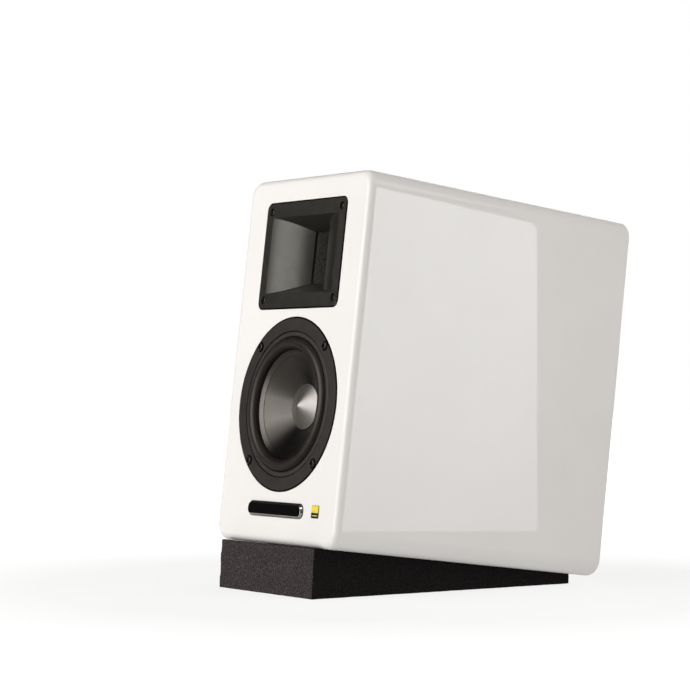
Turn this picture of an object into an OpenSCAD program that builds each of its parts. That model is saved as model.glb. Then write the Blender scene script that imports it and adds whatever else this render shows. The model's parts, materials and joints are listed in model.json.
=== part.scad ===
/* [Cabinet] */
// Width of the cabinet, in millimetres
cab_w = 150; // [144:1:170]
// Height of the cabinet along its own upright
cab_h = 255; // [252:1:290]
// Depth of the cabinet from the front board to the back edge
cab_d = 231; // [231:1:260]
// Wall thickness, which is also the radius of the long corners
wall = 15; // [15:1:18]
// Thickness of the front board
baffle_t = 18; // [16:1:22]
// Radius that rounds the front and back edges
edge_r = 5; // [2:0.5:8]
// Angle that the cabinet leans back on its stand
tilt = 7.05; // [0:0.05:8]

/* [Foam stand] */
// Width of the foam wedge
foam_w = 115; // [90:1:140]
// Length of the foam wedge along the shelf
foam_l = 220; // [180:1:225]
// How far the front face of the foam leans back, in degrees
foam_lean = 3.5; // [0:0.5:8]
// Height of the cabinet's lower front edge above the shelf
cab_z = 33.4; // [32:0.1:45]

/* [Woofer] */
// Height of the woofer's centre above the cabinet's underside
woof_z = 96; // [95:1:98]
// Radius of the woofer's front ring
woof_r = 60; // [58:0.5:61]

/* [Tweeter] */
// Height of the horn's centre above the cabinet's underside
horn_z = 200; // [199:1:205]
// Width of the horn's flange
horn_w = 98.5; // [96:0.5:110]
// Height of the horn's flange
horn_h = 75; // [72:0.5:78]

/* [Front panel] */
// Height of the display window's centre
lens_z = 23.5; // [22:0.5:25]
// Length of the display window
lens_w = 67.5; // [50:0.5:70]
// Height of the display window
lens_h = 10; // [9:0.5:11]

/* [Controls] */
// Radius of the volume knob
vol_r = 9.5; // [8:0.5:11]
// Radius of the two tone knobs
tone_r = 6.5; // [5:0.5:8]

/* [Hidden] */
$fn = 72;
half_w = cab_w / 2;
in_w = half_w - wall;
in_top = cab_h - wall;
// Lower front edge of the cabinet, measured from the middle of the foam's underside
cab_y = 6.3 - foam_l / 2;
// Inner face of the back board and the plane that the back plate's outside lies in
back_y = cab_d - 14;
plate_y = cab_d;
// Screw spacing on the two drivers
woof_screw = 39.8;
horn_screw_x = horn_w / 2 - 5.95;
horn_screw_z = horn_h / 2 - 6.2;
// Rows and columns of the back plate
knob_z = 146;
vol_x = -30;
bass_x = 6;
treble_x = 32;
jack_z = 112;
jack_x = [-40, -24];
optical_x = 4;
usb_x = 32;
link_x = 32;
link_z = 80;
inlet_x = -22;
inlet_z = 46;
switch_x = 30;
switch_z = 46;
// Where the switch rocks and how far it leans when it is off
rock_y = plate_y - 1;
rock_a = 8;
// Voice coil sizes
former_r = 12.6;
lacquer = [0.955, 0.95, 0.94];
mdf = [0.62, 0.49, 0.35];
charcoal = [0.13, 0.125, 0.12];
black = [0.05, 0.05, 0.05];
steel = [0.62, 0.62, 0.63];
zinc = [0.5, 0.51, 0.52];

// Puts a shape drawn in the cabinet's own frame where the cabinet leans on its stand
module on_stand() {
    translate([0, cab_y, cab_z]) rotate([-tilt, 0, 0]) children();
}

// Revolves an outline of [radius, depth] points about an axis that runs into the cabinet
module turned(x, z, a = 360) {
    translate([x, 0, z]) rotate([-90, 0, 0]) rotate_extrude(angle = a, $fn = 96) children();
}

// A box between two limits on each axis
module block(x0, x1, y0, y1, z0, z1) {
    translate([x0, y0, z0]) cube([x1 - x0, y1 - y0, z1 - z0]);
}

// A round bar that runs into the cabinet between two depths
module bar(x, z, r, y0, y1) {
    translate([x, y0, z]) rotate([-90, 0, 0]) cylinder(r = r, h = y1 - y0);
}

module rounded(w, h, r) {
    square([w - 2 * r, h], center = true);
    square([w, h - 2 * r], center = true);
    for (i = [-1, 1], j = [-1, 1]) {
        translate([i * (w / 2 - r), j * (h / 2 - r)]) circle(r = r);
    }
}

// A plate with round corners that faces the front
module plate(x, z, w, h, r, y0, y1) {
    translate([x, y0, z]) rotate([-90, 0, 0]) linear_extrude(y1 - y0) rounded(w, h, r);
}

// Section of a wrap panel: [outwards, depth], rounded at the outer back edge
module wrap_section() {
    difference() {
        translate([0, baffle_t]) square([wall, cab_d - baffle_t]);
        translate([wall - edge_r, cab_d - edge_r]) difference() {
            square(edge_r + 1);
            circle(r = edge_r);
        }
    }
}

// Section of the front board's border: [outwards, depth], rounded at the outer front edge
module rim_section() {
    difference() {
        square([wall, baffle_t]);
        translate([wall - edge_r, edge_r]) difference() {
            translate([0, -edge_r - 1]) square(edge_r + 1);
            circle(r = edge_r);
        }
    }
}

// A long corner piece: the section turned about the inner corner, from one angle over a sweep
module corner_piece(x, z, start, sweep) {
    translate([x, 0, z]) rotate([-90, 0, 0]) rotate([0, 0, start]) {
        rotate_extrude(angle = sweep, $fn = 96) children();
    }
}

// A straight run up the right side
module upright_run(h) {
    translate([in_w, 0, wall]) linear_extrude(h) children();
}

// ---------- stand and cabinet ----------

module foam_stand() {
    lean = foam_l / 2 - 33.9 * tan(foam_lean);
    top_f = cab_z - (-lean - cab_y) * tan(tilt);
    top_r = cab_z - (foam_l / 2 - cab_y) * tan(tilt);
    color([0.17, 0.16, 0.155]) translate([-foam_w / 2, 0, 0]) rotate([90, 0, 90]) {
        linear_extrude(foam_w) polygon([
            [-foam_l / 2, 0], [foam_l / 2, 0], [foam_l / 2, top_r], [-lean, top_f]
        ]);
    }
}

// One panel of the mitred wrap: lies along X, faces up, and carries half a round corner at each end
module wrap_panel(run) {
    translate([-run / 2, 0, 0]) rotate([0, 90, 0]) linear_extrude(run) {
        rotate(180) mirror([0, 1]) wrap_section();
    }
    corner_piece(run / 2, 0, -90, 45) wrap_section();
    mirror([1, 0, 0]) corner_piece(run / 2, 0, -90, 45) wrap_section();
}

module right_side_panel() {
    color(lacquer) on_stand() translate([in_w, 0, cab_h / 2]) rotate([0, 90, 0]) {
        wrap_panel(cab_h - 2 * wall);
    }
}

module left_side_panel() {
    color(lacquer) on_stand() translate([-in_w, 0, cab_h / 2]) rotate([0, -90, 0]) {
        wrap_panel(cab_h - 2 * wall);
    }
}

module top_panel() {
    color(lacquer) on_stand() translate([0, 0, in_top]) wrap_panel(2 * in_w);
}

module bottom_panel() {
    color(lacquer) on_stand() translate([0, 0, wall]) rotate([0, 180, 0]) wrap_panel(2 * in_w);
}

module baffle_blank() {
    block(-in_w, in_w, 0, baffle_t, wall, in_top);
    for (m = [0, 1]) {
        mirror([m, 0, 0]) upright_run(cab_h - 2 * wall) rim_section();
        mirror([m, 0, 0]) corner_piece(in_w, in_top, -90, 90) rim_section();
        mirror([m, 0, 0]) corner_piece(in_w, wall, 0, 90) rim_section();
        translate([0, 0, m * cab_h]) mirror([0, 0, m]) translate([-in_w, 0, in_top]) {
            rotate([0, 90, 0]) linear_extrude(2 * in_w) rotate(180) mirror([0, 1]) rim_section();
        }
    }
}

module front_baffle() {
    color(lacquer) on_stand() difference() {
        baffle_blank();
        bar(0, woof_z, woof_r + 0.3, -1, 4.6);
        bar(0, woof_z, 51.6, 4, baffle_t + 1);
        for (i = [-1, 1], j = [-1, 1]) {
            bar(i * woof_screw, woof_z + j * woof_screw, 1.9, 4, 16);
            bar(i * horn_screw_x, horn_z + j * horn_screw_z, 1.6, 2.5, 16);
        }
        plate(0, horn_z, horn_w + 0.6, horn_h + 0.6, 5.3, -1, 3);
        block(-38.9, 38.9, 2, baffle_t + 1, horn_z - 29.2, horn_z + 29.2);
        plate(0, lens_z, lens_w + 0.4, lens_h + 0.4, lens_h / 2 + 0.19, -1, 3);
        plate(0, lens_z, 62, 9, 1, 2, 10);
    }
}

module rear_panel() {
    color(lacquer) on_stand() difference() {
        block(-in_w, in_w, back_y, cab_d - 2, wall, in_top);
        block(-51, 51, back_y - 1, cab_d, 25, 163);
        bar(0, 205, 28.2, back_y - 1, cab_d);
        for (x = [-54.5, 54.5], z = [22, 72, 118, 166]) {
            bar(x, z, 1.3, cab_d - 12, cab_d);
        }
    }
}

module window_brace() {
    color(mdf) on_stand() difference() {
        block(-in_w, in_w, 98, 110, wall, in_top);
        plate(0, 120, 84, 170, 10, 97, 111);
        block(-32, 32, 97, 111, 213, 231);
    }
}

module acoustic_wadding() {
    color([0.86, 0.86, 0.83]) on_stand() {
        block(-in_w, -in_w + 4, 112, 212, 24, 174);
        block(in_w - 4, in_w, 112, 212, 24, 174);
        block(-in_w, in_w, 20, 95, 234, in_top);
    }
}

// One moulding: a tube whose mouth flares out into a flange that plugs the back board's hole
module port_tube() {
    color(black) on_stand() difference() {
        union() {
            bar(0, 205, 19, 128, cab_d - 2);
            bar(0, 205, 28, back_y, cab_d - 1.5);
        }
        turned(0, 205) difference() {
            translate([0, 120]) square([26, 120]);
            translate([17, 119]) square([20, cab_d - 129.2]);
            translate([26, cab_d - 10.2]) circle(r = 9);
        }
    }
}

// ---------- tweeter ----------

// Plan of the horn's flare: a trapezium less one large circle at each side
module flare_plan(r, mouth, throat, y0, y1) {
    difference() {
        polygon([[-mouth, y0], [mouth, y0], [throat, y1], [-throat, y1]]);
        for (i = [-1, 1]) translate([i * 47.92, 51.03]) circle(r = r, $fn = 180);
    }
}

module flare_side(h0, h1, y0, y1) {
    rotate([90, 0, 90]) linear_extrude(100, center = true) {
        polygon([[y0, -h0], [y0, h0], [y1, h1], [y1, -h1]]);
    }
}

module horn_cavity() {
    translate([0, 0, horn_z]) intersection() {
        translate([0, 0, -40]) linear_extrude(80) flare_plan(52, 41.95, 9.5, -1, 16);
        flare_side(27.27, 18, -1, 16);
    }
}

module horn_shell() {
    translate([0, 0, horn_z]) intersection() {
        translate([0, 0, -40]) linear_extrude(80) difference() {
            translate([-38.5, 2.5]) square([77, 14.5]);
            for (i = [-1, 1]) translate([i * 47.92, 51.03]) circle(r = 49, $fn = 180);
        }
        flare_side(28.8, 21, 2.5, 17);
    }
}

module tweeter_horn() {
    color(charcoal) on_stand() difference() {
        union() {
            plate(0, horn_z, horn_w, horn_h, 5, -0.5, 3);
            horn_shell();
            block(-26, 26, 15.5, 19, horn_z - 27, horn_z + 27);
        }
        horn_cavity();
        block(-9.5, 9.5, 15.9, 17.2, horn_z - 18, horn_z + 18);
        block(-11, 11, 17.1, 20, horn_z - 20, horn_z + 20);
        for (i = [-1, 1], j = [-1, 1]) {
            bar(i * horn_screw_x, horn_z + j * horn_screw_z, 2.7, -1, 1.6);
            bar(i * horn_screw_x, horn_z + j * horn_screw_z, 1.6, -1, 4);
        }
    }
}

module horn_screws() {
    color(black) on_stand() for (i = [-1, 1], j = [-1, 1]) {
        difference() {
            union() {
                bar(i * horn_screw_x, horn_z + j * horn_screw_z, 2.5, 0.3, 1.6);
                bar(i * horn_screw_x, horn_z + j * horn_screw_z, 1.5, 1.5, 14);
            }
            translate([i * horn_screw_x, 0, horn_z + j * horn_screw_z]) rotate([-90, 0, 0]) {
                cylinder(r = 1.2, h = 1.2, $fn = 6);
            }
        }
    }
}

module throat_mesh() {
    color([0.09, 0.09, 0.09]) on_stand() translate([0, 17.2, horn_z]) rotate([-90, 0, 0]) {
        linear_extrude(0.6) difference() {
            square([21.8, 39.8], center = true);
            intersection() {
                square([19, 36], center = true);
                for (i = [-7:7], j = [-7:7]) {
                    translate([(i + j) * 1.9, (i - j) * 2.6]) {
                        polygon([[-1.6, 0], [0, 2.2], [1.6, 0], [0, -2.2]]);
                    }
                }
            }
        }
    }
}

module foil_frame() {
    color(charcoal) on_stand() difference() {
        block(-10.9, 10.9, 17.8, 20.6, horn_z - 19.9, horn_z + 19.9);
        block(-8.6, 8.6, 17, 22, horn_z - 17.4, horn_z + 17.4);
    }
}

// The diaphragm is a foil folded into upright pleats, held at its two ends
module pleated_foil() {
    n = 22;
    w = 16.8;
    zig = [for (i = [0:n]) [-w / 2 + i * w / n, i % 2 == 0 ? 18.4 : 20]];
    back = [for (i = [n:-1:0]) [-w / 2 + i * w / n, (i % 2 == 0 ? 18.4 : 20) + 0.2]];
    color([0.75, 0.66, 0.4]) on_stand() translate([0, 0, horn_z - 17.4]) {
        linear_extrude(34.8) polygon(concat(zig, back));
    }
}

module tweeter_magnets() {
    color(zinc) on_stand() {
        block(-20, -9, 21, 33, horn_z - 19, horn_z + 19);
        block(9, 20, 21, 33, horn_z - 19, horn_z + 19);
    }
}

module tweeter_yoke() {
    color(steel) on_stand() {
        block(-22, 22, 33, 37, horn_z - 20, horn_z + 20);
        block(-2, 2, 23, 33, horn_z - 17, horn_z + 17);
    }
}

module tweeter_back_cup() {
    color(black) on_stand() difference() {
        block(-26, 26, 19, 44, horn_z - 27, horn_z + 27);
        block(-23.5, 23.5, 18, 41.5, horn_z - 24.5, horn_z + 24.5);
    }
}

// ---------- woofer ----------

module woofer_basket() {
    color([0.14, 0.135, 0.13]) on_stand() difference() {
        turned(0, woof_z) polygon([
            [50.7, -0.4], [59.6, -0.4], [60, 0], [60, 4], [49.6, 4], [49.4, 9], [34, 36],
            [34, 39], [20, 39], [20, 36.5], [30.4, 35], [35.4, 28], [31, 28], [31, 26.6],
            [36.4, 26.6], [46.5, 9], [46.5, 1.6], [50.7, 1.6]
        ]);
        for (a = [0:60:300]) {
            translate([0, 0, woof_z]) rotate([-90, 0, 0]) rotate([0, 0, a + 9]) {
                rotate_extrude(angle = 42, $fn = 96) translate([38.2, 10]) square([20, 14.5]);
            }
        }
        for (i = [-1, 1], j = [-1, 1]) {
            bar(i * woof_screw, woof_z + j * woof_screw, 2.1, -1, 5);
        }
    }
}

module woofer_gasket() {
    color(black) on_stand() difference() {
        bar(0, woof_z, 59.4, 4, 4.6);
        bar(0, woof_z, 51.8, 3, 5);
        for (i = [-1, 1], j = [-1, 1]) {
            bar(i * woof_screw, woof_z + j * woof_screw, 2.1, 3, 5);
        }
    }
}

module woofer_screws() {
    color(black) on_stand() for (i = [-1, 1], j = [-1, 1]) {
        difference() {
            union() {
                bar(i * woof_screw, woof_z + j * woof_screw, 3.2, -1.8, -0.4);
                bar(i * woof_screw, woof_z + j * woof_screw, 1.8, -0.5, 15.5);
            }
            translate([i * woof_screw, -2.5, woof_z + j * woof_screw]) rotate([-90, 0, 0]) {
                cylinder(r = 1.7, h = 2, $fn = 6);
            }
        }
    }
}

module woofer_trim_ring() {
    color([0.15, 0.145, 0.14]) on_stand() turned(0, woof_z) {
        polygon([[46.9, 0.2], [47.3, -0.3], [49.9, -0.3], [50.2, 0], [50.2, 0.9], [46.9, 0.9]]);
    }
}

// Half roll between the ring and the cone, glued under the ring and on the cone's rim
module woofer_surround() {
    color([0.1, 0.098, 0.095]) on_stand() turned(0, woof_z) {
        difference() {
            union() {
                intersection() {
                    translate([42.45, 1.4]) circle(r = 4.25);
                    translate([38, -4]) square([9, 5.4]);
                }
                translate([46, 0.95]) square([4, 0.6]);
                polygon([[34, 2.9], [38.3, 2.05], [38.3, 2.8], [34, 3.6]]);
                translate([38.2, 1.4]) square([0.75, 1.38]);
            }
            intersection() {
                translate([42.45, 1.4]) circle(r = 3.5);
                translate([38, -4]) square([9, 5.41]);
            }
        }
    }
}

module woofer_cone() {
    color([0.2, 0.195, 0.19]) on_stand() turned(0, woof_z) polygon([
        [12.95, 17.85], [34, 3.6], [38.3, 2.8], [38.3, 3.3], [34.2, 4.1], [12.95, 18.5]
    ]);
}

module woofer_dust_cap() {
    color([0.75, 0.74, 0.72]) on_stand() turned(0, woof_z) polygon([
        [0, 8.5], [0.8, 8.7], [15.9, 15.1], [16, 15.3], [16, 15.79], [15.3, 16.26],
        [15.2, 15.6], [0, 9.2]
    ]);
}

module voice_coil_former() {
    color([0.72, 0.55, 0.28]) on_stand() turned(0, woof_z) {
        translate([former_r, 17.6]) square([0.3, 30.9]);
    }
}

module voice_coil_winding() {
    color([0.72, 0.38, 0.2]) on_stand() turned(0, woof_z) {
        translate([former_r + 0.32, 36]) square([0.6, 12]);
    }
}

module woofer_spider() {
    color([0.75, 0.6, 0.25]) on_stand() turned(0, woof_z) polygon(concat(
        [for (i = [0:9]) [13 + i * 2.2, i % 2 == 0 ? 25.2 : 24.2]], [[34.6, 26]],
        [[34.6, 26.5]], [for (i = [9:-1:0]) [13 + i * 2.2, i % 2 == 0 ? 25.7 : 24.7]]
    ));
}

module woofer_top_plate() {
    color(steel) on_stand() difference() {
        bar(0, woof_z, 35, 39.1, 45);
        bar(0, woof_z, 14.1, 38, 46);
    }
}

module woofer_magnet() {
    color([0.16, 0.16, 0.17]) on_stand() difference() {
        bar(0, woof_z, 38, 45, 59);
        bar(0, woof_z, 17.5, 44, 60);
    }
}

module woofer_yoke() {
    color(steel) on_stand() difference() {
        union() {
            bar(0, woof_z, 36, 59, 64);
            bar(0, woof_z, 12.1, 39, 60);
        }
        bar(0, woof_z, 4, 38, 65);
    }
}

// ---------- display window and badge ----------

module display_lens() {
    run = lens_w - lens_h;
    color(black) on_stand() {
        translate([-run / 2, 0, lens_z]) rotate([90, 0, 90]) linear_extrude(run) {
            mirror([1, -1]) lens_section();
            mirror([0, 1]) mirror([1, -1]) lens_section();
        }
        corner_piece(run / 2, lens_z, -90, 180) lens_section();
        corner_piece(-run / 2, lens_z, 90, 180) lens_section();
    }
}

// Half the window's section: [distance from its long centre line, depth], rounded at the front
module lens_section() {
    half = lens_h / 2;
    translate([0, -0.3]) square([half, 3.2]);
    translate([0, -1.8]) square([half - 1.5, 3]);
    intersection() {
        translate([half - 1.5, -0.3]) circle(r = 1.5);
        translate([0, -1.8]) square([half, 2]);
    }
}

module display_board() {
    color([0.05, 0.25, 0.13]) on_stand() block(-30.5, 30.5, 6.4, 8, lens_z - 4.3, lens_z + 4.3);
}

module display_digits() {
    color([0.2, 0.05, 0.05]) on_stand() {
        block(-13, -1, 3.2, 6.4, lens_z - 3.8, lens_z + 3.8);
        block(1, 13, 3.2, 6.4, lens_z - 3.8, lens_z + 3.8);
        bar(24, lens_z, 2.5, 3.4, 6.4);
    }
}

module badge_plate() {
    color([0.85, 0.68, 0.12]) on_stand() plate(48.5, 24, 9, 9, 0.6, -0.6, 0);
}

// ---------- back plate and electronics ----------

module amp_panel() {
    color([0.12, 0.12, 0.125]) on_stand() difference() {
        union() {
            block(-58, 58, plate_y - 2, plate_y, 18.5, 169.5);
            for (x = [-44, 44], z = [100, 156]) bar(x, z, 2.5, 209.6, plate_y - 1.9);
        }
        bar(vol_x, knob_z, 4.1, 228, 232);
        bar(bass_x, knob_z, 3.3, 228, 232);
        bar(treble_x, knob_z, 3.3, 228, 232);
        for (x = jack_x) bar(x, jack_z, 5, 228, 232);
        block(optical_x - 6, optical_x + 6, 228, 232, jack_z - 6, jack_z + 6);
        block(usb_x - 6.6, usb_x + 6.6, 228, 232, jack_z - 6.1, jack_z + 6.1);
        bar(link_x, link_z, 8.1, 228, 232);
        block(inlet_x - 13.9, inlet_x + 13.9, 228, 232, inlet_z - 10.4, inlet_z + 10.4);
        block(switch_x - 7.7, switch_x + 7.7, 228, 232, switch_z - 10.9, switch_z + 10.9);
        for (x = [-54.5, 54.5], z = [22, 72, 118, 166]) bar(x, z, 1.6, 228, 232);
    }
}

module amp_panel_screws() {
    color(black) on_stand() for (x = [-54.5, 54.5], z = [22, 72, 118, 166]) {
        difference() {
            union() {
                bar(x, z, 2.9, plate_y, plate_y + 1.4);
                bar(x, z, 1.2, plate_y - 11, plate_y + 0.1);
            }
            translate([x, plate_y + 0.5, z]) rotate([-90, 0, 0]) cylinder(r = 1.3, h = 2, $fn = 6);
        }
    }
}

module amp_chamber() {
    color([0.1, 0.1, 0.1]) on_stand() {
        difference() {
            block(-54, 54, 152, back_y, 22, 166);
            block(-51, 51, 155, back_y + 1, 25, 163);
        }
        for (x = [-44, 44], z = [32, 92]) bar(x, z, 3, 154.9, 160);
    }
}

module amp_board() {
    color([0.07, 0.3, 0.16]) on_stand() difference() {
        block(-48, 48, 160, 161.6, 28, 96);
        for (x = [-44, 44], z = [32, 92]) bar(x, z, 1.6, 159, 163);
    }
}

module power_transformer() {
    color([0.45, 0.4, 0.3]) on_stand() {
        block(-44, -2, 166, 182, 37, 73);
        block(-36, -10, 161.6, 166, 41, 69);
        block(-36, -10, 182, 196, 41, 69);
    }
}

module filter_capacitors() {
    color([0.15, 0.17, 0.3]) on_stand() {
        bar(13, 44, 10, 161.6, 194);
        bar(36, 44, 10, 161.6, 194);
    }
}

module amp_heatsink() {
    color([0.7, 0.7, 0.72]) on_stand() {
        block(4, 44, 161.6, 190, 70, 73);
        for (i = [0:9]) block(4 + i * 4.2, 6 + i * 4.2, 161.6, 190, 73, 86);
    }
}

module output_chips() {
    color(black) on_stand() {
        block(8, 22, 163, 173, 66, 70);
        block(26, 40, 163, 173, 66, 70);
    }
}

module input_board() {
    color([0.07, 0.3, 0.16]) on_stand() difference() {
        block(-48, 48, 208, 209.6, 96, 160);
        bar(vol_x, knob_z, 1.5, 207, 210);
    }
}

// Rotary encoder with a push switch: housing, threaded bush and a bore for the shaft
module volume_encoder() {
    color([0.55, 0.56, 0.57]) on_stand() difference() {
        union() {
            block(vol_x - 6, vol_x + 6, 209.6, 217, knob_z - 6, knob_z + 6);
            bar(vol_x, knob_z, 4, 216.9, 230.6);
        }
        bar(vol_x, knob_z, 3.05, 214.2, 231);
        bar(vol_x, knob_z, 2.3, 210.6, 214.3);
    }
}

module push_sleeve() {
    color([0.8, 0.8, 0.78]) on_stand() bar(vol_x, knob_z, 2.25, 211.2, 215);
}

module volume_shaft() {
    color(steel) on_stand() difference() {
        bar(vol_x, knob_z, 3, 215, 246);
        block(vol_x - 4, vol_x + 4, 236, 247, knob_z + 1.5, knob_z + 4);
    }
}

module volume_knob() {
    color(charcoal) on_stand() difference() {
        union() {
            bar(vol_x, knob_z, vol_r, 233, 247);
            bar(vol_x, knob_z, vol_r - 0.7, 246.9, 247.7);
        }
        difference() {
            bar(vol_x, knob_z, 3.02, 232, 246.02);
            block(vol_x - 4, vol_x + 4, 236, 247, knob_z + 1.52, knob_z + 4);
        }
        bar(vol_x, knob_z, 6.6, 232, 235);
        for (a = [0:15:345]) {
            translate([vol_x, 236, knob_z]) rotate([-90, 0, 0]) rotate([0, 0, a]) {
                translate([vol_r + 0.2, 0, 0]) cylinder(r = 0.5, h = 15);
            }
        }
        bar(vol_x, knob_z + vol_r - 2.6, 0.8, 247.2, 249);
    }
}

module tone_pots() {
    color([0.55, 0.56, 0.57]) on_stand() for (x = [bass_x, treble_x]) difference() {
        union() {
            block(x - 5, x + 5, 209.6, 216, knob_z - 5, knob_z + 5);
            bar(x, knob_z, 3.2, 215.9, 230.6);
        }
        bar(x, knob_z, 2.05, 211, 231);
    }
}

module tone_knob(x) {
    difference() {
        union() {
            bar(x, knob_z, tone_r, 233, 243);
            bar(x, knob_z, 2, 211.5, 233.1);
        }
        for (a = [0:20:340]) {
            translate([x, 235, knob_z]) rotate([-90, 0, 0]) rotate([0, 0, a + 10]) {
                translate([tone_r + 0.2, 0, 0]) cylinder(r = 0.5, h = 9);
            }
        }
        block(x - 0.5, x + 0.5, 242.4, 244, knob_z + 1.5, knob_z + tone_r + 1);
    }
}

module bass_knob() {
    color(charcoal) on_stand() tone_knob(bass_x);
}

module treble_knob() {
    color(charcoal) on_stand() tone_knob(treble_x);
}

module rca_shells() {
    color([0.8, 0.68, 0.35]) on_stand() for (x = jack_x) difference() {
        union() {
            bar(x, jack_z, 4.15, 209.6, 240.5);
            bar(x, jack_z, 6, plate_y, plate_y + 1.2);
        }
        bar(x, jack_z, 3.5, 220, 241);
    }
}

module rca_inserts() {
    color([0.7, 0.08, 0.07]) on_stand() for (x = jack_x) difference() {
        bar(x, jack_z, 3.5, 220, 239.8);
        bar(x, jack_z, 1.6, 226, 241);
    }
}

module optical_socket() {
    color(black) on_stand() difference() {
        union() {
            block(optical_x - 5.8, optical_x + 5.8, 209.6, plate_y, jack_z - 5.8, jack_z + 5.8);
            block(optical_x - 7, optical_x + 7, plate_y, plate_y + 1.2, jack_z - 7, jack_z + 7);
        }
        block(optical_x - 4.2, optical_x + 4.2, 215, 233, jack_z - 4.2, jack_z + 4.2);
        translate([optical_x - 5, 229.9, jack_z + 3.4]) rotate([0, 90, 0]) cylinder(r = 0.55, h = 10);
    }
}

// Sprung dust flap, hinged along its upper edge, that a plug pushes in
module optical_flap() {
    color([0.2, 0.2, 0.2]) on_stand() {
        translate([optical_x - 4.8, 229.9, jack_z + 3.4]) rotate([0, 90, 0]) cylinder(r = 0.5, h = 9.6);
        block(optical_x - 3.8, optical_x + 3.8, 229.5, 230.3, jack_z - 3.9, jack_z + 3.4);
    }
}

module usb_socket() {
    color(steel) on_stand() {
        difference() {
            block(usb_x - 6, usb_x + 6, 209.6, plate_y + 0.8, jack_z - 5.5, jack_z + 5.5);
            block(usb_x - 4.3, usb_x + 4.3, 216, 233, jack_z - 3.9, jack_z + 3.9);
        }
        block(usb_x - 2.9, usb_x + 2.9, 215.9, 229, jack_z - 1.6, jack_z + 1.6);
    }
}

module link_socket() {
    color([0.1, 0.1, 0.1]) on_stand() difference() {
        union() {
            bar(link_x, link_z, 8, 212, plate_y + 0.1);
            bar(link_x, link_z, 10, plate_y, plate_y + 1.6);
        }
        difference() {
            bar(link_x, link_z, 7, 224, 233);
            bar(link_x, link_z, 5.4, 220, plate_y + 0.6);
        }
        for (a = [0:45:180]) {
            translate([link_x, 222, link_z]) rotate([-90, 0, 0]) rotate([0, 0, a]) {
                translate([3.6, 0, 0]) cylinder(r = 0.8, h = 12);
            }
        }
    }
}

module mains_inlet() {
    color([0.09, 0.09, 0.09]) on_stand() translate([inlet_x, 0, inlet_z]) {
        difference() {
            union() {
                block(-13.7, 13.7, 206, plate_y, -10.2, 10.2);
                plate(0, 0, 32, 25, 3, plate_y, plate_y + 2);
            }
            block(-12, 12, 214, 234, -8.2, 8.2);
        }
        for (x = [-7, 7]) block(x - 1, x + 1, 213.9, 229, -3.5, 0.5);
        block(-1, 1, 213.9, 229.5, 1.8, 5.8);
    }
}

module switch_frame() {
    color(black) on_stand() translate([switch_x, 0, switch_z]) difference() {
        union() {
            block(-7.5, 7.5, 212, plate_y, -10.7, 10.7);
            plate(0, 0, 17.5, 24, 1.5, plate_y, plate_y + 1.2);
        }
        block(-5.7, 5.7, 219, 234, -8.9, 8.9);
        translate([-6.9, rock_y, 0]) rotate([0, 90, 0]) cylinder(r = 1.05, h = 13.8);
    }
}

// Rocker drawn level about its pivot, then leaned back to the off position
module power_rocker() {
    color(black) on_stand() translate([switch_x, rock_y, switch_z]) rotate([-rock_a, 0, 0]) {
        rotate([90, 0, 90]) linear_extrude(10.8, center = true) {
            polygon([[0, -8], [2.7, -8], [1.6, 0], [2.7, 8], [0, 8], [-3, 4], [-3, -4]]);
            circle(r = 4.2);
        }
        translate([-6.7, 0, 0]) rotate([0, 90, 0]) cylinder(r = 1, h = 13.4);
    }
}

foam_stand();
front_baffle();
left_side_panel();
right_side_panel();
top_panel();
bottom_panel();
rear_panel();
window_brace();
acoustic_wadding();
port_tube();
tweeter_horn();
horn_screws();
throat_mesh();
pleated_foil();
foil_frame();
tweeter_magnets();
tweeter_yoke();
tweeter_back_cup();
woofer_basket();
woofer_screws();
woofer_gasket();
woofer_trim_ring();
woofer_surround();
woofer_cone();
woofer_dust_cap();
voice_coil_former();
voice_coil_winding();
woofer_spider();
woofer_top_plate();
woofer_magnet();
woofer_yoke();
display_lens();
display_board();
display_digits();
badge_plate();
amp_panel();
amp_panel_screws();
amp_chamber();
amp_board();
amp_heatsink();
output_chips();
power_transformer();
filter_capacitors();
input_board();
volume_encoder();
push_sleeve();
volume_shaft();
volume_knob();
tone_pots();
bass_knob();
treble_knob();
rca_shells();
rca_inserts();
optical_socket();
optical_flap();
usb_socket();
link_socket();
mains_inlet();
switch_frame();
power_rocker();
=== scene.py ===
import json
import math

import bmesh
import bpy
import numpy as np
from mathutils import Matrix, Vector, noise


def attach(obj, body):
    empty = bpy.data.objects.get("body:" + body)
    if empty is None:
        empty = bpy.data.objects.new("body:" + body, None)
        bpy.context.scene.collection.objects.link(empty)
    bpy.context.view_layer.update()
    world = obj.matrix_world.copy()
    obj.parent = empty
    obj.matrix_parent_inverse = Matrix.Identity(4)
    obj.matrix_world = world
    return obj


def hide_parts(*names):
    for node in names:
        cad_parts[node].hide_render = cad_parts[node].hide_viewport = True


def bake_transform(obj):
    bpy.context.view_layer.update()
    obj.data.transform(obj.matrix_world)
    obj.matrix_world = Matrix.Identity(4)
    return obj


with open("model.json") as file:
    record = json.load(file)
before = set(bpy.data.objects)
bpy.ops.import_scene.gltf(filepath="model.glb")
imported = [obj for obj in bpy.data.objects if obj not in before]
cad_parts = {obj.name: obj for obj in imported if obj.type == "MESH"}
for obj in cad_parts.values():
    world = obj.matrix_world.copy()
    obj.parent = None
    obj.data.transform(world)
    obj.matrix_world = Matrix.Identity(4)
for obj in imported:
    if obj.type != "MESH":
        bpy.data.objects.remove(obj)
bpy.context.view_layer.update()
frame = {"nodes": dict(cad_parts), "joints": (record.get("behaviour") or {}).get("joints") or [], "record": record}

# Shapes are drawn in millimetres. A driver's own frame has Z out of its face, X to the right and Y up.
MM = 0.001
SEGMENTS = 192  # round a full circle
CREASE = 32  # degrees: sharper edges than this stay sharp
GAP = 0.6  # play between a driver and its pocket in the front board, in the visual model
EDGE = 5  # roundover of the cabinet's front and back edges


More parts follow.
